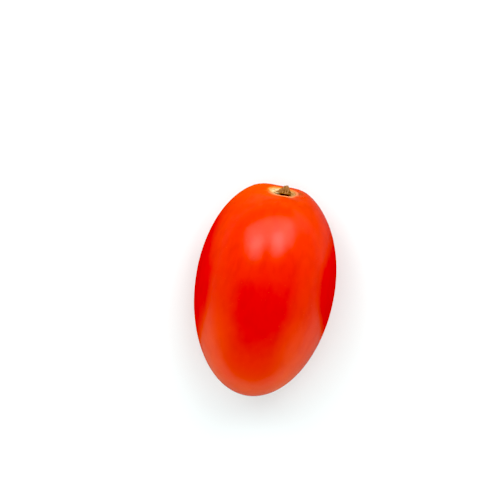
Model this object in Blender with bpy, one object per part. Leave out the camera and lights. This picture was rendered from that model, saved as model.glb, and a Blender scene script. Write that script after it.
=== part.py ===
"""A ripe plum tomato lying on its side, with the dry stub of its stalk still in the stem scar.

Metres, +Z up. The long axis runs along Y with the stem end at +Y. The fruit rests on z = 0, and the origin is
under the middle of its bounding box. The fruit and the stub are each one solid.
"""

import math

import bmesh
import bpy
from mathutils import Matrix, Vector

MM = 0.001

# The fruit's body
DIAMETER = 44.0 * MM  # at its widest
HALF_LENGTH = 34.6 * MM  # of the egg curve, before its stem end is flattened
WIDEST_SHIFT = 1.5 * MM  # the widest station lies this far from the middle, towards the stem
FULLNESS = 0.02  # how much fuller than an ellipse the flanks are
SEED_CHAMBERS = 3
BODY_LOBE = 0.007  # how far the seed chambers swell the flanks, as a share of the radius
LOBE_TURN = math.radians(150)  # one chamber lies to the left and under, so another is on top

# The stem end
PLATEAU_HEIGHT = 33.0 * MM  # above the middle
SHOULDER_SOFTNESS = 1.2 * MM
SHOULDER_LOBE = 0.3 * MM
SHOULDER_RADIUS = 7.5 * MM
SHOULDER_INNER_WIDTH = 2.4 * MM
SHOULDER_OUTER_WIDTH = 5.0 * MM
DIMPLE_DEPTH = 0.45 * MM
DIMPLE_FLOOR = 4.2 * MM  # the dimple is level this far out
DIMPLE_SLOPE = 2.0 * MM
OBLIQUE = math.radians(6)  # the stem end faces this much to the upper side
OBLIQUE_TURN = math.radians(105)  # and it is highest on this side
SCAR_SHIFT = 0.8 * MM  # to the right of the axis
SCAR_RADIUS = 4.4 * MM  # of the crest of its corky rim
SCAR_RIM = 0.15 * MM
SCAR_RIM_WIDTH = 0.45 * MM
SCAR_SUNK = 0.25 * MM  # the cork inside the rim lies this much lower

# The blossom end
TIP_HEIGHT = 0.5 * MM
TIP_RADIUS = 1.7 * MM

# The stub of the stalk
STUB_WIDTH = 4.4 * MM
STUB_THICKNESS = 3.4 * MM
STUB_HEIGHT = 3.1 * MM
STUB_SHIFT = Vector((0.45, -1.1, 0)) * MM  # to the right of the scar's middle and towards the upper side
STUB_LEAN = 0.3 * MM  # its peak leans to the left
STUB_RIDGES = 5
STUB_RIDGE_TURN = 0.6
STUB_RIDGE_SHARE = 0.12
STUB_BLUNTNESS = 1.35
STUB_CONCAVITY = 1.3

# How the fruit lies
DIP = math.radians(2.2)  # its blossom end dips by this angle, which puts its weight over the spot it rests on
FLAT_DEPTH = 0.35 * MM  # the skin is pressed flat by this much
CLEARANCE = 0.3 * MM  # between the stub and the cork

# Fineness of the meshes
FRUIT_SEGMENTS = 72
FRUIT_RINGS = 52
RING_CROWDING = 0.65  # how much closer the rings lie at the stem end than evenly spread ones
STUB_SEGMENTS = 30
STUB_RINGS = 16


def smooth_step(x):
    x = max(0.0, min(1.0, x))
    return x * x * (3 - 2 * x)


def bell(distance, width):
    return math.exp(-((distance / width) ** 2))


def soft_cap(value, cap, softness):
    """The lower of the two, rounded where they meet."""
    return cap - softness * math.log1p(math.exp((cap - value) / softness))


def scar_height(radius):
    """How much the scar's rim and sunken cork change the height at this distance from its middle."""
    rim = SCAR_RIM * bell(radius - SCAR_RADIUS, SCAR_RIM_WIDTH)
    inside = smooth_step((SCAR_RADIUS - radius) / SCAR_RIM_WIDTH)
    return rim - SCAR_SUNK * inside


def fruit_point(ball):
    """Where a point of the unit ball goes on the fruit, stem up. The side towards -Y will lie on top."""
    turn = math.atan2(ball.y, ball.x)
    polar = math.acos(max(-1.0, min(1.0, ball.z)))
    polar *= 1 - RING_CROWDING * (1 - polar / math.pi) ** 3
    along = math.cos(polar)
    radius = DIAMETER / 2 * math.sin(polar) * (1 + FULLNESS * along**2)
    height = HALF_LENGTH * along + WIDEST_SHIFT * (1 - along**2)
    lobes = math.cos(SEED_CHAMBERS * (turn - LOBE_TURN))
    if along > 0:
        height = soft_cap(height, PLATEAU_HEIGHT, SHOULDER_SOFTNESS)
        width = SHOULDER_INNER_WIDTH if radius < SHOULDER_RADIUS else SHOULDER_OUTER_WIDTH
        height += SHOULDER_LOBE * lobes * bell(radius - SHOULDER_RADIUS, width) * smooth_step(2 * along)
        height -= DIMPLE_DEPTH * bell(max(0.0, radius - DIMPLE_FLOOR), DIMPLE_SLOPE)
        height += scar_height(radius)
        height += math.tan(OBLIQUE) * radius * math.cos(turn - OBLIQUE_TURN) * smooth_step(along)
    else:
        height -= TIP_HEIGHT * bell(radius, TIP_RADIUS)
    radius *= 1 + BODY_LOBE * lobes
    shift = SCAR_SHIFT * bell(radius, SHOULDER_RADIUS) * smooth_step(along)
    return Vector((radius * math.cos(turn) + shift, radius * math.sin(turn), height))


def stub_point(ball):
    """Where a point of the unit ball goes on the stub: a ridged, hollow-flanked cone that stands on z = 0."""
    turn = math.atan2(ball.y, ball.x)
    across = math.sqrt(max(0.0, 1 - ball.z**2))
    rise = (1 - across**STUB_BLUNTNESS) ** STUB_CONCAVITY if ball.z > 0 else 0.0
    ridges = 1 + STUB_RIDGE_SHARE * math.cos(STUB_RIDGES * turn + STUB_RIDGE_TURN) * (1 - rise)
    return Vector(
        (
            STUB_WIDTH / 2 * across * ridges * math.cos(turn) - STUB_LEAN * rise,
            STUB_THICKNESS / 2 * across * ridges * math.sin(turn),
            STUB_HEIGHT * rise,
        )
    )


def shaped_ball(name, segments, rings, point, collection, material):
    """A ball whose points are moved to where the given function puts them."""
    shape = bmesh.new()
    bmesh.ops.create_uvsphere(shape, u_segments=segments, v_segments=rings, radius=1.0)
    for vertex in shape.verts:
        vertex.co = point(vertex.co.copy())
    mesh = bpy.data.meshes.new(name)
    shape.to_mesh(mesh)
    shape.free()
    mesh.shade_smooth()
    mesh.materials.append(material)
    made = bpy.data.objects.new(name, mesh)
    collection.objects.link(made)
    return made


def finish(name, colour, roughness):
    """A plain coloured finish. The colour is linear."""
    material = bpy.data.materials.new(name)
    material.use_nodes = True
    surface = material.node_tree.nodes["Principled BSDF"]
    surface.inputs["Base Color"].default_value = (*colour, 1)
    surface.inputs["Roughness"].default_value = roughness
    surface.inputs["Metallic"].default_value = 0.0
    return material


def new_collection(name):
    made = bpy.data.collections.new(name)
    bpy.context.scene.collection.children.link(made)
    return made


def corners(objects):
    """Lowest and highest corner of the objects, from every vertex in the world."""
    bpy.context.view_layer.update()
    points = [o.matrix_world @ v.co for o in objects for v in o.data.vertices]
    low = Vector([min(p[i] for p in points) for i in range(3)])
    high = Vector([max(p[i] for p in points) for i in range(3)])
    return low, high


def ground_block(size, collection):
    """The space under the ground, which the skin is pressed flat against."""
    bpy.ops.mesh.primitive_cube_add(size=size, location=(0, 0, -size / 2))
    block = bpy.context.object
    block.name = "ground_block"
    for holder in list(block.users_collection):
        holder.objects.unlink(block)
    collection.objects.link(block)
    block.hide_render = True
    block.display_type = "WIRE"
    return block


def main():
    for old in list(bpy.data.objects):
        bpy.data.objects.remove(old, do_unlink=True)
    tomato = new_collection("plum_tomato")
    cutters = new_collection("cutters")

    skin = finish("ripe_red_skin", (0.70, 0.018, 0.004), 0.28)
    bark = finish("dry_stalk", (0.23, 0.125, 0.05), 0.85)
    fruit = shaped_ball("fruit", FRUIT_SEGMENTS, FRUIT_RINGS, fruit_point, tomato, skin)
    stub = shaped_ball("stem_stub", STUB_SEGMENTS, STUB_RINGS, stub_point, tomato, bark)

    lie = bpy.data.objects.new("tomato_lie", None)
    tomato.objects.link(lie)
    fruit.parent = lie
    stub.parent = lie
    scar_middle = fruit_point(Vector((0, 0, 1)))
    uphill = Vector((math.cos(OBLIQUE_TURN), math.sin(OBLIQUE_TURN), 0))
    tilt = Matrix.Rotation(OBLIQUE, 3, uphill.cross(Vector((0, 0, 1))))
    stub.rotation_euler = tilt.to_euler()
    stub.location = scar_middle + tilt @ (STUB_SHIFT + Vector((0, 0, CLEARANCE)))
    lie.rotation_euler = (DIP - math.pi / 2, 0, 0)

    low, high = corners([fruit, stub])
    middle = (low + high) / 2
    lie.location = (-middle.x, -middle.y, -low.z - FLAT_DEPTH)
    bpy.context.view_layer.update()

    press = fruit.modifiers.new("resting_flat", "BOOLEAN")
    press.operation = "DIFFERENCE"
    press.solver = "EXACT"
    press.object = ground_block(4 * HALF_LENGTH, cutters)


main()
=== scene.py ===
"""The looks of a ripe plum tomato that lies on white paper, with its light and its camera.

The fruit and the dry stub of its stalk stand where the part's solids do. Their meshes are finer, and carry
relief that is too fine for those. Sizes are in metres, apart from the stub's, which are in millimetres.
"""

import math

import bmesh
import bpy
from mathutils import Matrix, Vector, noise


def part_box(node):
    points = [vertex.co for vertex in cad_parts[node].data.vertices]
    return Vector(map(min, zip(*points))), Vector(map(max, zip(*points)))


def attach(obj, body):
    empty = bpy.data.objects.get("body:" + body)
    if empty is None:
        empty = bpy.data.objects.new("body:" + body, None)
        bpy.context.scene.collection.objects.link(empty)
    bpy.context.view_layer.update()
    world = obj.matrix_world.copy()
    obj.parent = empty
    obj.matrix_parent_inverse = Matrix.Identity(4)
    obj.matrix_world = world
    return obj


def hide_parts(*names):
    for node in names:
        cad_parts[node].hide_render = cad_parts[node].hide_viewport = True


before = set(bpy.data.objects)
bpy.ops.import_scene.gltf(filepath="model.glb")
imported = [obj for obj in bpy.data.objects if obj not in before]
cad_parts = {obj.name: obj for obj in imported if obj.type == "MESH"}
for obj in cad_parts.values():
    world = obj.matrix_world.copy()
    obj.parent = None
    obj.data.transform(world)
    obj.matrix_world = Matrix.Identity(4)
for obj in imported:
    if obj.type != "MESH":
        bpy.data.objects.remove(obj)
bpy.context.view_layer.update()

MM = 0.001

# The fruit, by the same rule and values as in the part's source
DIAMETER = 44.0 * MM
HALF_LENGTH = 34.6 * MM
WIDEST_SHIFT = 1.5 * MM
FULLNESS = 0.02
SEED_CHAMBERS = 3
BODY_LOBE = 0.007
LOBE_TURN = math.radians(150)
PLATEAU_HEIGHT = 33.0 * MM
SHOULDER_SOFTNESS = 1.2 * MM
SHOULDER_LOBE = 0.3 * MM
SHOULDER_RADIUS = 7.5 * MM
SHOULDER_INNER_WIDTH = 2.4 * MM
SHOULDER_OUTER_WIDTH = 5.0 * MM
DIMPLE_DEPTH = 0.45 * MM
DIMPLE_FLOOR = 4.2 * MM
DIMPLE_SLOPE = 2.0 * MM
OBLIQUE = math.radians(6)
OBLIQUE_TURN = math.radians(105)
SCAR_SHIFT = 0.8 * MM
SCAR_RADIUS = 4.4 * MM
SCAR_RIM = 0.15 * MM
SCAR_RIM_WIDTH = 0.45 * MM
SCAR_SUNK = 0.25 * MM
TIP_HEIGHT = 0.5 * MM
TIP_RADIUS = 1.7 * MM
DIP = math.radians(2.2)
RING_CROWDING = 0.65
FRUIT_SEGMENTS = 320
FRUIT_RINGS = 260

# The skin's own relief
SWELL_SIZE = 9.0 * MM  # of its slow unevenness
SWELL_HEIGHT = 0.035 * MM
RIPPLE_SIZE = 3.2 * MM  # of the finer ripple that breaks up the edges of the highlights
RIPPLE_SHARE = 0.3

# The healed cork in the scar
CORK_LUMP_SIZE = 0.9 * MM
CORK_LUMP_HEIGHT = 0.14 * MM
CORK_FRACTAL = (0.7, 2.1, 4)  # how fast finer lumps get lower, how much finer each is, and how many follow
CORK_RAYS = 17
CORK_RAY_HEIGHT = 0.05 * MM
CORK_RAY_BEND = 2.5  # how far the rays wander from straight ones, in radians of their wave
CORK_RADIUS = 3.95 * MM
CORK_LEFT = 0.35 * MM  # it reaches this much further on its left
CORK_FRONT = 0.35 * MM  # and this much further at its front
CORK_EDGE = 0.25 * MM  # over which the cork's colour gives way to the skin's
CORK_WAVER = 0.07  # how unevenly its edge runs, as a share of its radius
CORK_WAVES = 2
CORK_WAVE_SLICE = 0.25  # where the noise for that edge is taken from
LIP_WIDTH = 0.42 * MM  # of the painted highlight along the raised edge between cork and skin
LIP_TURN = math.radians(-50)  # the painted highlight shows most on this side, the front right
LIP_SHARE = 0.6
LIP_SHARE_THERE = 0.9  # more on that side, and less opposite
GOLD_WIDTH = 0.4 * MM  # of the thin golden cork at the edge, which shows most opposite that painted highlight
GOLD_SHARE = 0.5
GOLD_SHARE_OPPOSITE = 0.8
VEIN_RING_RADIUS = 3.1 * MM  # the broken ends of the stalk's veins lie round this ring
VEIN_COUNT = 7
VEIN_SCATTER = 0.08  # how far they lie off the ring, as a share of its radius
VEIN_SCATTER_STEP = 5.3  # radians from one to the next, so that they are off by different amounts
VEIN_RADIUS = 0.28 * MM
VEIN_DEPTH = 0.14 * MM
GAP_FROM = Vector((-1.9, -2.5, 0)) * MM  # the gap under the stub's front, with painted shade, runs between these
GAP_TO = Vector((1.8, -1.95, 0)) * MM
GAP_WIDTH = 0.75 * MM
GAP_DEPTH = 0.2 * MM
TAN_FROM = 0.2 * MM  # the cork turns from cream to tan to the right of this
TAN_TO = 1.4 * MM
BRUISE_MIDDLE = Vector((5.1, 0.7, 0)) * MM  # the rough brown skin beside the scar
BRUISE_RADIUS = 1.5 * MM

# What every point of the fruit carries for its material: its distance from the scar's middle, how far along
# the fruit it lies, and its share of each of the scar's colours. Two of those are painted light: the
# highlight on the rim and the shade in the gap under the stub.
MARKS = ("from_scar_mm", "along", "cork", "vein", "lip_highlight", "gold", "tan", "gap", "bruise")
NO_SCAR = 99.0  # the distance that marks places on the blossom half

# The stub's folds, in millimetres from the scar's middle: to the right, to the underside and up
PEAK = (0.5, -1.1, 2.62)
LEFT_BUMP = (-0.3, -1.2, 2.05)
SHOULDER = (1.35, -1.1, 2.1)
FOLDS = [
    (PEAK, SHOULDER),
    (PEAK, LEFT_BUMP),
    (LEFT_BUMP, (-2.1, -1.9, 0.25)),
    (LEFT_BUMP, (-1.4, -2.6, 0.15)),
    (LEFT_BUMP, (-0.4, -2.6, 0.2)),
    (PEAK, (0.5, -2.45, 0.2)),
    (SHOULDER, (1.05, -2.4, 0.2)),
    (SHOULDER, (1.45, -1.8, 0.25)),
    (LEFT_BUMP, (-0.9, 0.4, 0.3)),
    (SHOULDER, (1.2, 0.6, 0.3)),
    ((1.6, -0.8, 0.45), (3.4, -0.4, 0.25)),
    ((-1.7, -1.8, 0.4), (-2.9, -1.4, 0.2)),
]
FOLD_STEEPNESS = 3.7
FOLD_BLUNTNESS = 0.12  # half the width of a fold's rounded crest
FOLD_ROUGHNESS = 0.22  # of the torn surface, as a share of its height
FOLD_LUMP_SIZE = 0.45
FOLD_FRACTAL = (0.8, 2.0, 4)  # as for the cork
CORE_HEIGHT = 1.5  # of the solid heart that the folds stand on
CORE_WIDTH = 1.9  # half of its foot, from left to right
CORE_THICKNESS = 1.4  # and from front to back
CLEFT_SHARE = 0.6  # how dark the painted shade in the clefts between the folds is
CLEFT_WIDTH = 0.55  # they are darkest this far from a crest
CLEFT_TOP = 1.7  # and fade out at this height
CORE_AWAY = 0.42  # the heart counts as lying this far from a crest, for the painted shade
FLAP_FROM = 1.9  # the paler flap on the right begins here
FLAP_BLEND = 0.4
STUB_MIDDLE = (0.35, -1.15)
FOOT_HEIGHT = 0.35  # the foot stands clear of the cork by this much
FOOT_BULGE = 0.1
FOLD_SHARE = 0.91  # of the folds' height that is left above the foot
STUB_SEGMENTS = 180
STUB_RINGS = 120
STUB_STEP = 0.02  # in which the edge of the foot is sought

# The skin's colour, from the blossom end at 0 to the stem end at 1
SKIN_TOP = {
    0.0: "DE4C08",
    0.07: "DE4A08",
    0.14: "DA3808",
    0.21: "D63008",
    0.28: "D02A08",
    0.42: "CC2006",
    0.52: "CC2006",
    0.63: "D22A06",
    0.7: "D42C06",
    0.78: "D62E06",
    0.86: "D63306",
    1.0: "D83C10",
}
SKIN_FLANKS = {
    0.0: "F0680E",
    0.07: "F0660C",
    0.14: "E6520A",
    0.21: "DE460A",
    0.35: "D83908",
    0.49: "D02806",
    0.6: "D22406",
    0.7: "D42606",
    0.85: "D82A06",
    1.0: "D83810",
}
TOP_MIDDLE = -0.5 * MM  # on X, of the top's colour
FLANK_FROM = 5.0 * MM  # the flanks' colour sets in this far from that middle
FLANK_TO = 14.0 * MM

# The skin's patterns. A share says how much of a pattern's colour shows, by the height of its noise.
BLOTCH_SIZE = 5.0 * MM
BLOTCH_SHARE = {0.35: 0, 0.7: 0.2}
STREAK_WIDTH = 2.2 * MM
STREAK_SQUEEZE = (1.0, 0.4, 1.0)  # draws the streaks out along the fruit
STREAK_SHARE = {0.45: 0, 0.68: 0.28}
STREAK_FROM = 0.15  # they gain strength from this place along the fruit
STREAK_TO = 0.45  # to this one
STREAK_LEAST = 0.25
PORE_SPACING = 1.6 * MM
PORE_SHARE = {0.0: 0.12, 0.12: 0}  # by the distance from its middle
HALO_FROM = 4.0  # millimetres from the scar's middle
HALO_TO = 2.6  # it ends this far out, and further by its streaks
HALO_STREAK_LENGTH = 6.0
HALO_STREAK_FINENESS = 5.0
HALO_SHARE = 0.65
BRUISE_GRAIN_SIZE = 0.6 * MM
BRUISE_SHARE = {0.35: 0.2, 0.65: 0.9}
MOTTLE_SIZE = 0.8 * MM  # of the cork
CREAM = {0.3: "B88850", 0.42: "DCB078", 0.6: "E8CA9A"}
TAN = {0.3: "946838", 0.5: "BE8C56", 0.7: "D0A06C"}
GOLD_STRENGTH = 0.7
DENT_SIZE = 0.5 * MM  # of the skin's finest unevenness
DENT_DEPTH = 0.01 * MM
DENT_STRENGTH = 0.35
SKIN_ROUGHNESS = 0.24
CORK_ROUGHNESS = 0.8
SKIN_IOR = 1.45

# The dried stalk's fibres
FIBRE_WIDTH = 0.22 * MM
FIBRE_LENGTH = 1.1 * MM
FIBRE_HEIGHT = 0.08 * MM
FIBRE_STRENGTH = 0.7
FIBRES = {0.3: "6A4628", 0.5: "9E7046", 0.7: "BE8E5E"}
STALK_ROUGHNESS = 0.85
STALK_SPECULAR = 0.25

# The paper
PAPER = "E9F2F2"
PAPER_SIZE = 3.0  # from the fruit to the paper's edges, in metres
PAPER_ROUGHNESS = 0.9
PAPER_SPECULAR = 0.1

# What the skin's gloss mirrors in place of plain paper: painted shade near the fruit, and a painted red and
# orange reflection beside its stem half. The stops of the shade and of the left reflection are shares of the
# way between their two places.
SHADE_SQUASH = (1.0, 0.6, 0.0)  # the shade's outline is long, as the fruit is
SHADE_FROM = 25 * MM
SHADE_TO = 110 * MM
SHADE = {0.0: 0.26, 0.2: 0.36, 0.35: 0.45, 0.55: 0.51, 0.75: 0.6, 1.0: 0.74}
REFLECTED_RED = "B81806"
LEFT_REFLECTION_FROM = -60 * MM  # along Y
LEFT_REFLECTION_TO = 90 * MM
LEFT_REFLECTION = {
    0.44: REFLECTED_RED,
    0.52: "C03E10",
    0.593: "C87038",
    0.64: "D08E4C",
    0.733: "DCAC70",
    0.84: "ECC8B0",
}
LEFT_REFLECTION_NEAR = -41 * MM  # from here outwards on X its orange draws nearer
LEFT_REFLECTION_FAR = -77 * MM  # until here
LEFT_REFLECTION_SHIFT = 28 * MM  # by this much
RIGHT_REFLECTION_FROM = 10 * MM  # along Y, where its red begins to give way to painted shade
RIGHT_REFLECTION_TO = 36 * MM
WARM_FROM = 30 * MM  # along Y, where that painted shade begins to turn warmer
WARM_TO = 58 * MM
WARM = (1.0, 0.9, 0.62, 1.0)
SIDES_BLEND = 8 * MM  # left and right meet over this much on either side
REFLECTION_EDGE_ACROSS = (-0.065, 1.0, 0.0)  # the direction across the painted reflection's lower edge
REFLECTION_EDGE_FALL = 0.165  # how steeply it falls away from the middle
REFLECTION_EDGE_LEFT = 25 * MM  # how far it lies towards the blossom end, at the middle
REFLECTION_EDGE_RIGHT = 17 * MM
REFLECTION_EDGE_BLEND = 5 * MM
REFLECTION_FADE_FROM = 90 * MM  # the painted reflection fades into the painted shade from this distance
REFLECTION_FADE_TO = 260 * MM

# The photographed view. The camera looks down on the lying fruit from slightly beyond its stem end.
PHOTO_SIZE = 500
MM_PER_PIXEL = 0.3151
CAMERA_DISTANCE = 0.6
LEAN = math.radians(11)  # the stem end points this much towards the camera
ROLL = math.radians(9.56)  # and this much clockwise from the image's up
MIDDLE = Vector((0, 0, DIAMETER / 2))
MIDDLE_PIXEL = (264.3, 290.3)  # where the fruit's middle shows
SENSOR = 36.0
NEAREST = 0.05
BLACK_LEVEL = 0.045  # everything darker goes to black, as in a punchy print

# The room's light
ROOM_LIGHT = 0.61
ROOM_SLOPE = (-0.1, 0.12, 0.46)  # how much more comes from the right, from the stem's side and from above
DIM_CEILING = 0.3  # seen in the gloss, as the walls are
BRIGHT_WALL = 1.15
CEILING_EDGE = 0.9  # the height of a direction below which the ceiling gives way to the walls
WALL_TOP = 0.35  # and below which there are walls alone
# How bright the walls are, from the blossom end's side to the stem's
WALL_LENGTHWISE = {0.0: 0.3, 0.07: 0.45, 0.12: 0.65, 0.18: 0.95, 0.28: 1, 0.5: 1, 0.72: 0.9, 0.86: 0.25}
WALL_LEFT = 0.85  # how bright it is on the left
WALL_RIGHT = 1.08
WALL_TURN = 0.6  # how far to either side of a direction these are reached

# The lamps. The first four values are angles in degrees as the fruit sees them: the lamp's middle above the
# camera and to the right of it, its height and its width. Then come its distance in metres and its radiance.
LAMPS = {
    "softbox_right": (24.0, 15.5, 22.0, 20.0, 0.9, 3.3),
    "softbox_left": (22.2, -24.5, 21.0, 19.0, 0.9, 2.55),
    "softbox_wide": (39.0, 0.0, 33.0, 82.0, 1.0, 1.9),
    "softbox_side": (38.0, 58.0, 22.0, 44.0, 0.9, 0.7),
    "fill_front": (-86.0, 0.0, 24.0, 100.0, 0.9, 0.9),
}
UNMIRRORED_LAMPS = ("fill_front",)


def smooth_step(x):
    x = max(0.0, min(1.0, x))
    return x * x * (3 - 2 * x)


def bell(distance, width):
    return math.exp(-((distance / width) ** 2))


def soft_cap(value, cap, softness):
    """The lower of the two, rounded where they meet."""
    return cap - softness * math.log1p(math.exp((cap - value) / softness))


def lie_flat(point):
    """From the stem-up position that the rules below work in to the fruit's lying position."""
    return Matrix.Rotation(DIP - math.pi / 2, 3, "X") @ point


def scar_height(radius):
    """How much the scar's rim and sunken cork change the height at this distance from its middle."""
    rim = SCAR_RIM * bell(radius - SCAR_RADIUS, SCAR_RIM_WIDTH)
    inside = smooth_step((SCAR_RADIUS - radius) / SCAR_RIM_WIDTH)
    return rim - SCAR_SUNK * inside


def vein_share(radius, turn):
    """1 in the middle of a vein's broken end, falling to 0 round it."""
    step = 2 * math.pi / VEIN_COUNT
    nearest = round(turn / step)
    off = turn - nearest * step
    ring = VEIN_RING_RADIUS * (1 + VEIN_SCATTER * math.sin(VEIN_SCATTER_STEP * nearest))
    distance = math.hypot(radius - ring, off * ring)
    return bell(distance, VEIN_RADIUS)


def from_line(place, start, end):
    """The distance of a flat place from the line between two others."""
    run = end - start
    share = max(0.0, min(1.0, (place - start).dot(run) / run.length_squared))
    return (place - start - share * run).length


def gap_share(place):
    """1 in the middle of the gap under the stub's front."""
    return bell(from_line(place, GAP_FROM, GAP_TO), GAP_WIDTH)


def cork_relief(radius, turn):
    """The healed cork's lumps, its rays, the pits of the broken veins and the gap under the stub."""
    inside = smooth_step((SCAR_RADIUS + SCAR_RIM_WIDTH - radius) / (2 * SCAR_RIM_WIDTH))
    if inside == 0:
        return 0.0
    place = Vector((radius * math.cos(turn), radius * math.sin(turn), 0))
    lumps = noise.fractal(place / CORK_LUMP_SIZE, *CORK_FRACTAL)
    rays = math.sin(CORK_RAYS * turn + CORK_RAY_BEND * noise.noise(place / (2 * CORK_LUMP_SIZE)))
    rays *= smooth_step(radius / SCAR_RADIUS)
    relief = CORK_LUMP_HEIGHT * lumps + CORK_RAY_HEIGHT * rays
    relief -= VEIN_DEPTH * vein_share(radius, turn) + GAP_DEPTH * gap_share(place)
    return relief * inside


def fruit_point(ball):
    """Where a point of the unit ball goes on the fruit, stem up.

    With it come its distance from the scar's middle and its turn round it.
    """
    turn = math.atan2(ball.y, ball.x)
    polar = math.acos(max(-1.0, min(1.0, ball.z)))
    polar *= 1 - RING_CROWDING * (1 - polar / math.pi) ** 3
    along = math.cos(polar)
    radius = DIAMETER / 2 * math.sin(polar) * (1 + FULLNESS * along**2)
    from_scar = radius
    height = HALF_LENGTH * along + WIDEST_SHIFT * (1 - along**2)
    lobes = math.cos(SEED_CHAMBERS * (turn - LOBE_TURN))
    if along > 0:
        height = soft_cap(height, PLATEAU_HEIGHT, SHOULDER_SOFTNESS)
        width = SHOULDER_INNER_WIDTH if radius < SHOULDER_RADIUS else SHOULDER_OUTER_WIDTH
        height += SHOULDER_LOBE * lobes * bell(radius - SHOULDER_RADIUS, width) * smooth_step(2 * along)
        height -= DIMPLE_DEPTH * bell(max(0.0, radius - DIMPLE_FLOOR), DIMPLE_SLOPE)
        height += scar_height(radius) + cork_relief(radius, turn)
        height += math.tan(OBLIQUE) * radius * math.cos(turn - OBLIQUE_TURN) * smooth_step(along)
    else:
        height -= TIP_HEIGHT * bell(radius, TIP_RADIUS)
    radius *= 1 + BODY_LOBE * lobes
    shift = SCAR_SHIFT * bell(radius, SHOULDER_RADIUS) * smooth_step(along)
    point = Vector((radius * math.cos(turn) + shift, radius * math.sin(turn), height))
    swell = noise.noise(point / SWELL_SIZE) + RIPPLE_SHARE * noise.noise(point / RIPPLE_SIZE)
    swell *= SWELL_HEIGHT * smooth_step(from_scar / SCAR_RADIUS - 1)
    point += swell * Vector((ball.x, ball.y, ball.z))
    return point, from_scar, turn


def linear(code):
    """A linear colour from an sRGB hex code."""
    parts = [int(code[i : i + 2], 16) / 255 for i in (0, 2, 4)]
    return [c / 12.92 if c <= 0.04045 else ((c + 0.055) / 1.055) ** 2.4 for c in parts] + [1.0]


def grey(value):
    return (value, value, value, 1.0)


def add(owner, kind, inputs=None, stops=None, **settings):
    """Adds a shader node with its settings, and its inputs as values or as links from another node's output.

    A ramp's stops give each of its positions a colour, as an sRGB hex code or as a linear grey.
    """
    made = owner.node_tree.nodes.new(kind)
    for name, value in settings.items():
        setattr(made, name, value)
    for name, value in (inputs or {}).items():
        if isinstance(value, bpy.types.NodeSocket):
            owner.node_tree.links.new(value, made.inputs[name])
        else:
            made.inputs[name].default_value = value
    if stops:
        elements = made.color_ramp.elements
        while len(elements) < len(stops):
            elements.new(0.5)
        for element, (position, tone) in zip(elements, stops.items()):
            element.position = position
            element.color = linear(tone) if isinstance(tone, str) else grey(tone)
    return made


def new_material(name):
    """A material without nodes."""
    material = bpy.data.materials.new(name)
    material.use_nodes = True
    material.node_tree.nodes.clear()
    return material


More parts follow.
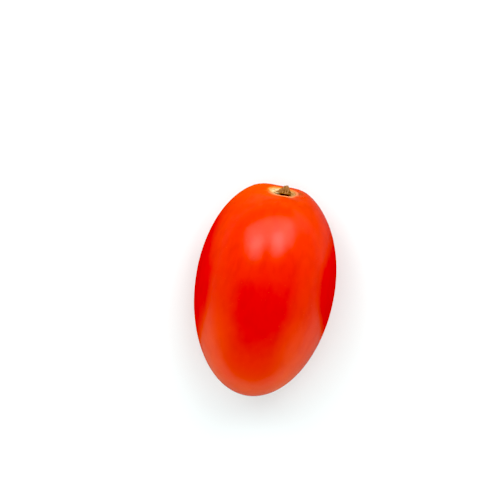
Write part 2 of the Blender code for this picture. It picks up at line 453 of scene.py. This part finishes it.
def skin_material():
    """Tomato skin, grown thin and waxy: a deep red with a clear gloss, more orange towards both ends.

    In the scar it has healed to cork, which is matt, cream and tan.
    """
    m = new_material("tomato_skin_grown_waxy")
    place = add(m, "ShaderNodeTexCoord").outputs["Object"]
    marks = {name: add(m, "ShaderNodeAttribute", attribute_name=name).outputs["Fac"] for name in MARKS}
    along = marks["along"]

    # The skin runs from orange at the blossom end to deep red in the middle, and to a lighter red at the
    # stem end.
    # Towards the blossom end the flanks are more orange than the top.
    skin_top = add(m, "ShaderNodeValToRGB", {"Fac": along}, SKIN_TOP).outputs["Color"]
    skin_flanks = add(m, "ShaderNodeValToRGB", {"Fac": along}, SKIN_FLANKS).outputs["Color"]
    sideways = add(m, "ShaderNodeSeparateXYZ", {"Vector": place}).outputs["X"]
    from_top = add(m, "ShaderNodeMath", {0: sideways, 1: TOP_MIDDLE}, operation="SUBTRACT").outputs[0]
    from_top = add(m, "ShaderNodeMath", {0: from_top}, operation="ABSOLUTE").outputs[0]
    flank = {"Value": from_top, "From Min": FLANK_FROM, "From Max": FLANK_TO}
    flank = add(m, "ShaderNodeMapRange", flank, interpolation_type="SMOOTHSTEP").outputs[0]
    # Soft blotches, where the flesh under the skin is paler.
    blotch = {"Vector": place, "Scale": 1 / BLOTCH_SIZE, "Detail": 3.0}
    blotch = add(m, "ShaderNodeTexNoise", blotch).outputs["Fac"]
    blotch = add(m, "ShaderNodeValToRGB", {"Fac": blotch}, BLOTCH_SHARE).outputs["Color"]
    # Faint streaks along the fruit, where the skin is a little deeper red. They fade at the blossom end.
    drawn_out = {0: place, 1: STREAK_SQUEEZE}
    drawn_out = add(m, "ShaderNodeVectorMath", drawn_out, operation="MULTIPLY").outputs[0]
    streak = {"Vector": drawn_out, "Scale": 1 / STREAK_WIDTH, "Detail": 4.0}
    streak = add(m, "ShaderNodeTexNoise", streak).outputs["Fac"]
    streak = add(m, "ShaderNodeValToRGB", {"Fac": streak}, STREAK_SHARE).outputs["Color"]
    fade = {"Value": along, "From Min": STREAK_FROM, "From Max": STREAK_TO, "To Min": STREAK_LEAST}
    fade = add(m, "ShaderNodeMapRange", fade).outputs[0]
    streak = add(m, "ShaderNodeMath", {0: streak, 1: fade}, operation="MULTIPLY").outputs[0]
    # Pale pores, each a fraction of a millimetre.
    pore = add(m, "ShaderNodeTexVoronoi", {"Vector": place, "Scale": 1 / PORE_SPACING}).outputs["Distance"]
    pore = add(m, "ShaderNodeValToRGB", {"Fac": pore}, PORE_SHARE).outputs["Color"]
    # The golden halo round the scar, with streaks that run out from it.
    direction = add(m, "ShaderNodeAttribute", attribute_name="scar_direction").outputs["Vector"]
    reach = {"Vector": direction, "Scale": HALO_STREAK_FINENESS, "Detail": 4.0}
    reach = add(m, "ShaderNodeTexNoise", reach).outputs["Fac"]
    reach = {0: reach, 1: HALO_STREAK_LENGTH, 2: HALO_TO}
    reach = add(m, "ShaderNodeMath", reach, operation="MULTIPLY_ADD").outputs[0]
    halo = {"Value": marks["from_scar_mm"], "From Min": HALO_FROM, "From Max": reach}
    halo.update({"To Min": HALO_SHARE, "To Max": 0.0})
    halo = add(m, "ShaderNodeMapRange", halo, interpolation_type="SMOOTHSTEP").outputs[0]
    # Rough brown skin on the scar's right.
    grain = {"Vector": place, "Scale": 1 / BRUISE_GRAIN_SIZE, "Detail": 5.0}
    grain = add(m, "ShaderNodeTexNoise", grain).outputs["Fac"]
    grain = add(m, "ShaderNodeValToRGB", {"Fac": grain}, BRUISE_SHARE).outputs["Color"]
    bruise = add(m, "ShaderNodeMath", {0: marks["bruise"], 1: grain}, operation="MULTIPLY").outputs[0]
    # The healed cork: cream, tan on the right, with dark veins.
    mottle = {"Vector": place, "Scale": 1 / MOTTLE_SIZE, "Detail": 5.0}
    mottle = add(m, "ShaderNodeTexNoise", mottle).outputs["Fac"]
    cream = add(m, "ShaderNodeValToRGB", {"Fac": mottle}, CREAM).outputs["Color"]
    tan = add(m, "ShaderNodeValToRGB", {"Fac": mottle}, TAN).outputs["Color"]
    cork = add(m, "ShaderNodeMix", {0: marks["tan"], 6: cream, 7: tan}, data_type="RGBA").outputs[2]
    cork = {0: marks["vein"], 6: cork, 7: linear("6A4420")}
    cork = add(m, "ShaderNodeMix", cork, data_type="RGBA").outputs[2]
    gold = add(m, "ShaderNodeMath", {0: marks["gold"], 1: GOLD_STRENGTH}, operation="MULTIPLY").outputs[0]
    # Each coat covers what lies under it by its share. The last one is painted shade in the gap under the
    # stub.
    coats = [
        (flank, skin_flanks),
        (blotch, linear("D63A08")),
        (streak, linear("BE1C06")),
        (pore, linear("F08040")),
        (halo, linear("E46614")),
        (bruise, linear("8A5226")),
        # A painted highlight along the scar's raised rim.
        (marks["lip_highlight"], linear("EE8A5C")),
        (marks["cork"], cork),
        (gold, linear("CC8C34")),
        (marks["gap"], linear("3C1408")),
    ]
    colour = skin_top
    for share, over in coats:
        colour = add(m, "ShaderNodeMix", {0: share, 6: colour, 7: over}, data_type="RGBA").outputs[2]

    dents = {"Vector": place, "Scale": 1 / DENT_SIZE, "Detail": 2.0}
    dents = add(m, "ShaderNodeTexNoise", dents).outputs["Fac"]
    dents = {"Height": dents, "Strength": DENT_STRENGTH, "Distance": DENT_DEPTH}
    dents = add(m, "ShaderNodeBump", dents).outputs["Normal"]
    matt = add(m, "ShaderNodeMath", {0: marks["cork"], 1: bruise}, operation="MAXIMUM").outputs[0]
    roughness = {"Value": matt, "To Min": SKIN_ROUGHNESS, "To Max": CORK_ROUGHNESS}
    roughness = add(m, "ShaderNodeMapRange", roughness).outputs[0]
    surface = {"Base Color": colour, "Roughness": roughness, "Normal": dents, "IOR": SKIN_IOR}
    surface = add(m, "ShaderNodeBsdfPrincipled", surface).outputs[0]
    add(m, "ShaderNodeOutputMaterial", {"Surface": surface})
    return m


def stalk_material():
    """Dried stalk, torn off by hand: matt brown fibres, with painted shade in the clefts between them."""
    m = new_material("tomato_stalk_dried_torn")
    place = add(m, "ShaderNodeTexCoord").outputs["Object"]
    # The fibres run up the stub, which lies along Y.
    drawn_out = {"Vector": place, "Scale": (1 / FIBRE_WIDTH, 1 / FIBRE_LENGTH, 1 / FIBRE_WIDTH)}
    drawn_out = add(m, "ShaderNodeMapping", drawn_out).outputs[0]
    fibres = {"Vector": drawn_out, "Scale": 1.0, "Detail": 5.0}
    fibres = add(m, "ShaderNodeTexNoise", fibres).outputs["Fac"]
    colour = add(m, "ShaderNodeValToRGB", {"Fac": fibres}, FIBRES).outputs["Color"]
    flap = add(m, "ShaderNodeAttribute", attribute_name="flap").outputs["Fac"]
    cleft_shade = add(m, "ShaderNodeAttribute", attribute_name="cleft_shade").outputs["Fac"]
    # The paler flap, then painted shade in the clefts.
    for share, over in [(flap, linear("BE8C56")), (cleft_shade, linear("5E3C1E"))]:
        colour = add(m, "ShaderNodeMix", {0: share, 6: colour, 7: over}, data_type="RGBA").outputs[2]
    bump = {"Height": fibres, "Strength": FIBRE_STRENGTH, "Distance": FIBRE_HEIGHT}
    bump = add(m, "ShaderNodeBump", bump).outputs["Normal"]
    surface = {"Base Color": colour, "Roughness": STALK_ROUGHNESS, "Normal": bump}
    surface["Specular IOR Level"] = STALK_SPECULAR
    surface = add(m, "ShaderNodeBsdfPrincipled", surface).outputs[0]
    add(m, "ShaderNodeOutputMaterial", {"Surface": surface})
    return m


def mirrored_ground(m):
    """The colour of the ground that the skin's gloss mirrors: painted shade, and a painted red and orange
    reflection.
    """
    place = add(m, "ShaderNodeTexCoord").outputs["Object"]
    x, y, _ = add(m, "ShaderNodeSeparateXYZ", {"Vector": place}).outputs
    squashed = add(m, "ShaderNodeVectorMath", {0: place, 1: SHADE_SQUASH}, operation="MULTIPLY").outputs[0]
    reach = add(m, "ShaderNodeVectorMath", {0: squashed}, operation="LENGTH").outputs["Value"]
    shade = {"Value": reach, "From Min": SHADE_FROM, "From Max": SHADE_TO}
    shade = add(m, "ShaderNodeMapRange", shade).outputs[0]
    shade = add(m, "ShaderNodeValToRGB", {"Fac": shade}, SHADE).outputs["Color"]

    # On the left the red gives way to orange further up, and outwards.
    outwards = {"Value": x, "From Min": LEFT_REFLECTION_NEAR, "From Max": LEFT_REFLECTION_FAR}
    outwards["To Max"] = LEFT_REFLECTION_SHIFT
    outwards = add(m, "ShaderNodeMapRange", outwards).outputs[0]
    up = add(m, "ShaderNodeMath", {0: y, 1: outwards}, operation="ADD").outputs[0]
    left = {"Value": up, "From Min": LEFT_REFLECTION_FROM, "From Max": LEFT_REFLECTION_TO}
    left = add(m, "ShaderNodeMapRange", left).outputs[0]
    left = add(m, "ShaderNodeValToRGB", {"Fac": left}, LEFT_REFLECTION).outputs["Color"]
    # On the right it gives way to painted shade, which is warmer further up.
    plain = {"Value": y, "From Min": RIGHT_REFLECTION_FROM, "From Max": RIGHT_REFLECTION_TO}
    plain = add(m, "ShaderNodeMapRange", plain, interpolation_type="SMOOTHSTEP").outputs[0]
    warmth = {"Value": y, "From Min": WARM_FROM, "From Max": WARM_TO}
    warmth = add(m, "ShaderNodeMapRange", warmth).outputs[0]
    warm = {0: warmth, 6: shade, 7: WARM}
    warm = add(m, "ShaderNodeMix", warm, data_type="RGBA", blend_type="MULTIPLY").outputs[2]
    right = {0: plain, 6: linear(REFLECTED_RED), 7: warm}
    right = add(m, "ShaderNodeMix", right, data_type="RGBA").outputs[2]
    side = {"Value": x, "From Min": -SIDES_BLEND, "From Max": SIDES_BLEND}
    side = add(m, "ShaderNodeMapRange", side).outputs[0]
    reflections = add(m, "ShaderNodeMix", {0: side, 6: left, 7: right}, data_type="RGBA").outputs[2]

    # Below the painted reflection's lower edge, which falls away from the middle, there is painted shade
    # again.
    edge = {0: place, 1: REFLECTION_EDGE_ACROSS}
    edge = add(m, "ShaderNodeVectorMath", edge, operation="DOT_PRODUCT").outputs["Value"]
    outward = add(m, "ShaderNodeMath", {0: x}, operation="ABSOLUTE").outputs[0]
    edge = {0: outward, 1: REFLECTION_EDGE_FALL, 2: edge}
    edge = add(m, "ShaderNodeMath", edge, operation="MULTIPLY_ADD").outputs[0]
    start = {"Value": side, "To Min": REFLECTION_EDGE_LEFT, "To Max": REFLECTION_EDGE_RIGHT}
    start = add(m, "ShaderNodeMapRange", start).outputs[0]
    edge = add(m, "ShaderNodeMath", {0: edge, 1: start}, operation="ADD").outputs[0]
    edge = {"Value": edge, "From Min": -REFLECTION_EDGE_BLEND, "From Max": REFLECTION_EDGE_BLEND}
    edge = add(m, "ShaderNodeMapRange", edge, interpolation_type="SMOOTHSTEP").outputs[0]
    near = {"Value": reach, "From Min": REFLECTION_FADE_FROM, "From Max": REFLECTION_FADE_TO}
    near.update({"To Min": 1.0, "To Max": 0.0})
    near = add(m, "ShaderNodeMapRange", near, interpolation_type="SMOOTHSTEP").outputs[0]
    reflection_share = add(m, "ShaderNodeMath", {0: edge, 1: near}, operation="MULTIPLY").outputs[0]
    return add(m, "ShaderNodeMix", {0: reflection_share, 6: shade, 7: reflections}, data_type="RGBA").outputs[2]


def paper_material():
    """White paper, smooth and matt: a clean pale ground that throws soft light back up."""
    m = new_material("table_paper_matt_white")
    # Glossy rays see painted shade and a painted red and orange reflection, not the paper's own colour.
    gloss = add(m, "ShaderNodeLightPath").outputs["Is Glossy Ray"]
    colour = {0: gloss, 6: linear(PAPER), 7: mirrored_ground(m)}
    colour = add(m, "ShaderNodeMix", colour, data_type="RGBA").outputs[2]
    surface = {"Base Color": colour, "Roughness": PAPER_ROUGHNESS, "Specular IOR Level": PAPER_SPECULAR}
    surface = add(m, "ShaderNodeBsdfPrincipled", surface).outputs[0]
    add(m, "ShaderNodeOutputMaterial", {"Surface": surface})
    return m


def object_from(shape, name, material):
    """A smooth-shaded object made from a bmesh, which is freed."""
    mesh = bpy.data.meshes.new(name)
    shape.to_mesh(mesh)
    shape.free()
    mesh.shade_smooth()
    mesh.materials.append(material)
    made = bpy.data.objects.new(name, mesh)
    bpy.context.scene.collection.objects.link(made)
    return made


def scar_marks(from_scar, turn):
    """How much of each of the scar's colours a place shows, painted highlight and painted shade among them.
    """
    place = from_scar * Vector((math.cos(turn), math.sin(turn), 0))
    waver = noise.noise(CORK_WAVES * Vector((math.cos(turn), math.sin(turn), CORK_WAVE_SLICE)))
    edge = CORK_RADIUS * (1 + CORK_WAVER * waver)
    edge += CORK_LEFT * max(0.0, -math.cos(turn)) ** 2 + CORK_FRONT * max(0.0, -math.sin(turn)) ** 2
    # The painted highlight on the rim is strongest on the front right.
    lip_side = math.cos(turn - LIP_TURN)
    lip_share = smooth_step(LIP_SHARE + LIP_SHARE_THERE * lip_side)
    gold_share = smooth_step(GOLD_SHARE - GOLD_SHARE_OPPOSITE * lip_side)
    return {
        "cork": smooth_step((edge - from_scar) / CORK_EDGE + 0.5),
        "vein": vein_share(from_scar, turn),
        "lip_highlight": bell(from_scar - edge - LIP_WIDTH, LIP_WIDTH) * lip_share,
        "gold": bell(from_scar - edge, GOLD_WIDTH) * gold_share,
        "tan": smooth_step((place.x - TAN_FROM) / (TAN_TO - TAN_FROM)),
        "gap": gap_share(place),
        "bruise": bell((place - BRUISE_MIDDLE).length, BRUISE_RADIUS),
    }


def make_fruit():
    """Replaces the fruit's solid, and gives back the move that brought the finer mesh onto it."""
    shape = bmesh.new()
    bmesh.ops.create_uvsphere(shape, u_segments=FRUIT_SEGMENTS, v_segments=FRUIT_RINGS, radius=1.0)
    layers = {name: shape.verts.layers.float.new(name) for name in MARKS}
    direction_layer = shape.verts.layers.float_vector.new("scar_direction")
    for v in shape.verts:
        point, from_scar, turn = fruit_point(v.co)
        v[layers["along"]] = 0.5 + point.z / (2 * HALF_LENGTH)
        v[direction_layer] = Vector((math.cos(turn), math.sin(turn), 0))
        v[layers["from_scar_mm"]] = NO_SCAR
        if point.z > 0:
            v[layers["from_scar_mm"]] = from_scar / MM
            for name, share in scar_marks(from_scar, turn).items():
                v[layers[name]] = share
        v.co = lie_flat(point)
    low_cad, high_cad = (Vector(c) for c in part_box("fruit"))
    low = Vector([min(v.co[i] for v in shape.verts) for i in range(3)])
    high = Vector([max(v.co[i] for v in shape.verts) for i in range(3)])
    move = (low_cad + high_cad - low - high) / 2
    move.z = high_cad.z - high.z
    bmesh.ops.translate(shape, verts=shape.verts, vec=move)
    # The skin is pressed flat where it lies on the ground.
    for v in shape.verts:
        v.co.z = max(v.co.z, low_cad.z)
    bmesh.ops.recalc_face_normals(shape, faces=shape.faces)
    made = object_from(shape, "tomato_fruit", skin_material())
    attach(made, "root")
    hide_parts("fruit")
    return move


def fold_height(x, y):
    """The stub's height at a place, and how far from there the crest of its highest fold is."""
    heights = []
    for start, end in FOLDS:
        start, end, place = Vector(start), Vector(end), Vector((x, y, 0))
        run = (end - start).xy.to_3d()
        share = max(0.0, min(1.0, (place - start).dot(run) / run.length_squared))
        crest = start.lerp(end, share)
        away = math.hypot(x - crest.x, y - crest.y)
        heights.append((crest.z - FOLD_STEEPNESS * max(0.0, away - FOLD_BLUNTNESS), away))
    off = math.hypot((x - STUB_MIDDLE[0]) / CORE_WIDTH, (y - STUB_MIDDLE[1]) / CORE_THICKNESS)
    heights.append((CORE_HEIGHT * (1 - off), CORE_AWAY))
    return max(heights)


def stub_reach(turn):
    """How far the edge of the stub's foot lies from its middle in this direction."""
    x, y = STUB_MIDDLE
    reach = STUB_STEP
    while fold_height(x + reach * math.cos(turn), y + reach * math.sin(turn))[0] > 0:
        reach += STUB_STEP
    return reach


def make_stub(move):
    """Replaces the stub's solid. It moves with the fruit's mesh."""
    shape = bmesh.new()
    bmesh.ops.create_uvsphere(shape, u_segments=STUB_SEGMENTS, v_segments=STUB_RINGS, radius=1.0)
    cleft_shade_layer = shape.verts.layers.float.new("cleft_shade")
    flap_layer = shape.verts.layers.float.new("flap")
    scar_middle, _, _ = fruit_point(Vector((0, 0, 1)))
    uphill = Vector((math.cos(OBLIQUE_TURN), math.sin(OBLIQUE_TURN), 0))
    tilt = Matrix.Rotation(OBLIQUE, 3, uphill.cross(Vector((0, 0, 1))))
    reaches = {}
    for v in shape.verts:
        # Rounded, so that points above one another share their turn.
        turn = round(math.atan2(v.co.y, v.co.x), 4)
        if turn not in reaches:
            reaches[turn] = stub_reach(turn)
        across = reaches[turn] * math.sqrt(max(0.0, 1 - v.co.z**2))
        x = STUB_MIDDLE[0] + across * math.cos(turn)
        y = STUB_MIDDLE[1] + across * math.sin(turn)
        height, away = fold_height(x, y)
        if v.co.z > 0:
            rough = noise.fractal(Vector((x, y, 0)) / FOLD_LUMP_SIZE, *FOLD_FRACTAL)
            height = max(0.0, height) * (1 + FOLD_ROUGHNESS * rough)
        else:
            height = FOOT_BULGE * v.co.z
        # Painted shade, darkest between the folds and low down.
        v[cleft_shade_layer] = CLEFT_SHARE * smooth_step(away / CLEFT_WIDTH) * smooth_step(CLEFT_TOP - height)
        v[flap_layer] = smooth_step((x - FLAP_FROM) / FLAP_BLEND)
        point = Vector((x, y, FOOT_HEIGHT + FOLD_SHARE * height)) * MM
        v.co = lie_flat(scar_middle + tilt @ point) + move
    bmesh.ops.recalc_face_normals(shape, faces=shape.faces)
    made = object_from(shape, "tomato_stalk_stub", stalk_material())
    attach(made, "root")
    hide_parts("stem_stub")


def view_axes():
    """Image right, image up and the direction from the fruit to the camera."""
    toward = Vector((0, math.sin(LEAN), math.cos(LEAN)))
    along = Vector((0, math.cos(LEAN), -math.sin(LEAN)))
    across = along.cross(toward)
    right = math.sin(ROLL) * along + math.cos(ROLL) * across
    up = math.cos(ROLL) * along - math.sin(ROLL) * across
    return right, up, toward


def facing(right, up, back):
    return Matrix((right, up, back)).transposed().to_4x4()


def make_camera():
    right, up, toward = view_axes()
    half = PHOTO_SIZE / 2
    target = MIDDLE - (MIDDLE_PIXEL[0] - half) * MM_PER_PIXEL * MM * right
    target += (MIDDLE_PIXEL[1] - half) * MM_PER_PIXEL * MM * up
    data = bpy.data.cameras.new("camera")
    data.sensor_width = SENSOR
    data.lens = SENSOR * CAMERA_DISTANCE / (PHOTO_SIZE * MM_PER_PIXEL * MM)
    data.clip_start = NEAREST
    camera = bpy.data.objects.new("camera", data)
    bpy.context.scene.collection.objects.link(camera)
    camera.matrix_world = Matrix.Translation(target + CAMERA_DISTANCE * toward) @ facing(right, up, toward)
    bpy.context.scene.camera = camera


def make_lamp(name, up_degrees, right_degrees, height_degrees, width_degrees, distance, radiance):
    """A soft rectangular lamp, placed and sized by the angles at which the fruit sees it."""
    right, up, toward = view_axes()
    a, b = math.radians(up_degrees), math.radians(right_degrees)
    back = math.cos(a) * math.cos(b) * toward + math.sin(a) * up + math.cos(a) * math.sin(b) * right
    side = up.cross(back).normalized()
    data = bpy.data.lights.new(name, "AREA")
    data.shape = "RECTANGLE"
    data.size = 2 * distance * math.tan(math.radians(width_degrees) / 2)
    data.size_y = 2 * distance * math.tan(math.radians(height_degrees) / 2)
    # A lamp's radiance is its power over its area and over pi.
    data.energy = radiance * math.pi * data.size * data.size_y
    lamp = bpy.data.objects.new(name, data)
    bpy.context.scene.collection.objects.link(lamp)
    lamp.matrix_world = Matrix.Translation(MIDDLE + distance * back) @ facing(side, back.cross(side), back)
    lamp.visible_camera = False
    lamp.visible_glossy = name not in UNMIRRORED_LAMPS


def make_floor(level):
    shape = bmesh.new()
    bmesh.ops.create_grid(shape, x_segments=1, y_segments=1, size=PAPER_SIZE)
    bmesh.ops.translate(shape, verts=shape.verts, vec=(0, 0, level))
    floor = object_from(shape, "floor", paper_material())


def make_world():
    """The room's light. It is even for the matt parts. The gloss sees a dim ceiling and brighter walls."""
    world = bpy.data.worlds.new("studio")
    bpy.context.scene.world = world
    world.use_nodes = True
    world.node_tree.nodes.clear()
    direction = add(world, "ShaderNodeTexCoord").outputs["Generated"]
    x, y, z = add(world, "ShaderNodeSeparateXYZ", {"Vector": direction}).outputs
    low = {"Value": z, "From Min": CEILING_EDGE, "From Max": WALL_TOP}
    low = add(world, "ShaderNodeMapRange", low, interpolation_type="SMOOTHSTEP").outputs[0]
    lengthwise = {"Value": y, "From Min": -1.0, "From Max": 1.0}
    lengthwise = add(world, "ShaderNodeMapRange", lengthwise).outputs[0]
    lengthwise = add(world, "ShaderNodeValToRGB", {"Fac": lengthwise}, WALL_LENGTHWISE).outputs["Color"]
    sideways = {"Value": x, "From Min": -WALL_TURN, "From Max": WALL_TURN}
    sideways.update({"To Min": WALL_LEFT, "To Max": WALL_RIGHT})
    sideways = add(world, "ShaderNodeMapRange", sideways).outputs[0]
    wall = add(world, "ShaderNodeMath", {0: low, 1: lengthwise}, operation="MULTIPLY").outputs[0]
    wall = add(world, "ShaderNodeMath", {0: wall, 1: sideways}, operation="MULTIPLY").outputs[0]
    gloss = {"Value": wall, "To Min": DIM_CEILING, "To Max": BRIGHT_WALL}
    gloss = add(world, "ShaderNodeMapRange", gloss).outputs[0]
    slope = {0: direction, 1: ROOM_SLOPE}
    slope = add(world, "ShaderNodeVectorMath", slope, operation="DOT_PRODUCT").outputs["Value"]
    matt = add(world, "ShaderNodeMath", {0: slope, 1: ROOM_LIGHT}, operation="ADD").outputs[0]
    glossy = add(world, "ShaderNodeLightPath").outputs["Is Glossy Ray"]
    strength = add(world, "ShaderNodeMix", {0: glossy, 2: matt, 3: gloss}).outputs[0]
    background = add(world, "ShaderNodeBackground", {"Color": grey(1.0), "Strength": strength}).outputs[0]
    add(world, "ShaderNodeOutputWorld", {"Surface": background})


def grade():
    """The plain look of a sharp print, with its darkest tones cut to black."""
    settings = bpy.context.scene.view_settings
    settings.view_transform = "Standard"
    settings.use_curve_mapping = True
    settings.curve_mapping.black_level = (BLACK_LEVEL, BLACK_LEVEL, BLACK_LEVEL)
    settings.curve_mapping.update()


make_stub(make_fruit())
make_camera()
make_floor(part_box("fruit")[0][2])
make_world()
for lamp_name, lamp_values in LAMPS.items():
    make_lamp(lamp_name, *lamp_values)
grade()
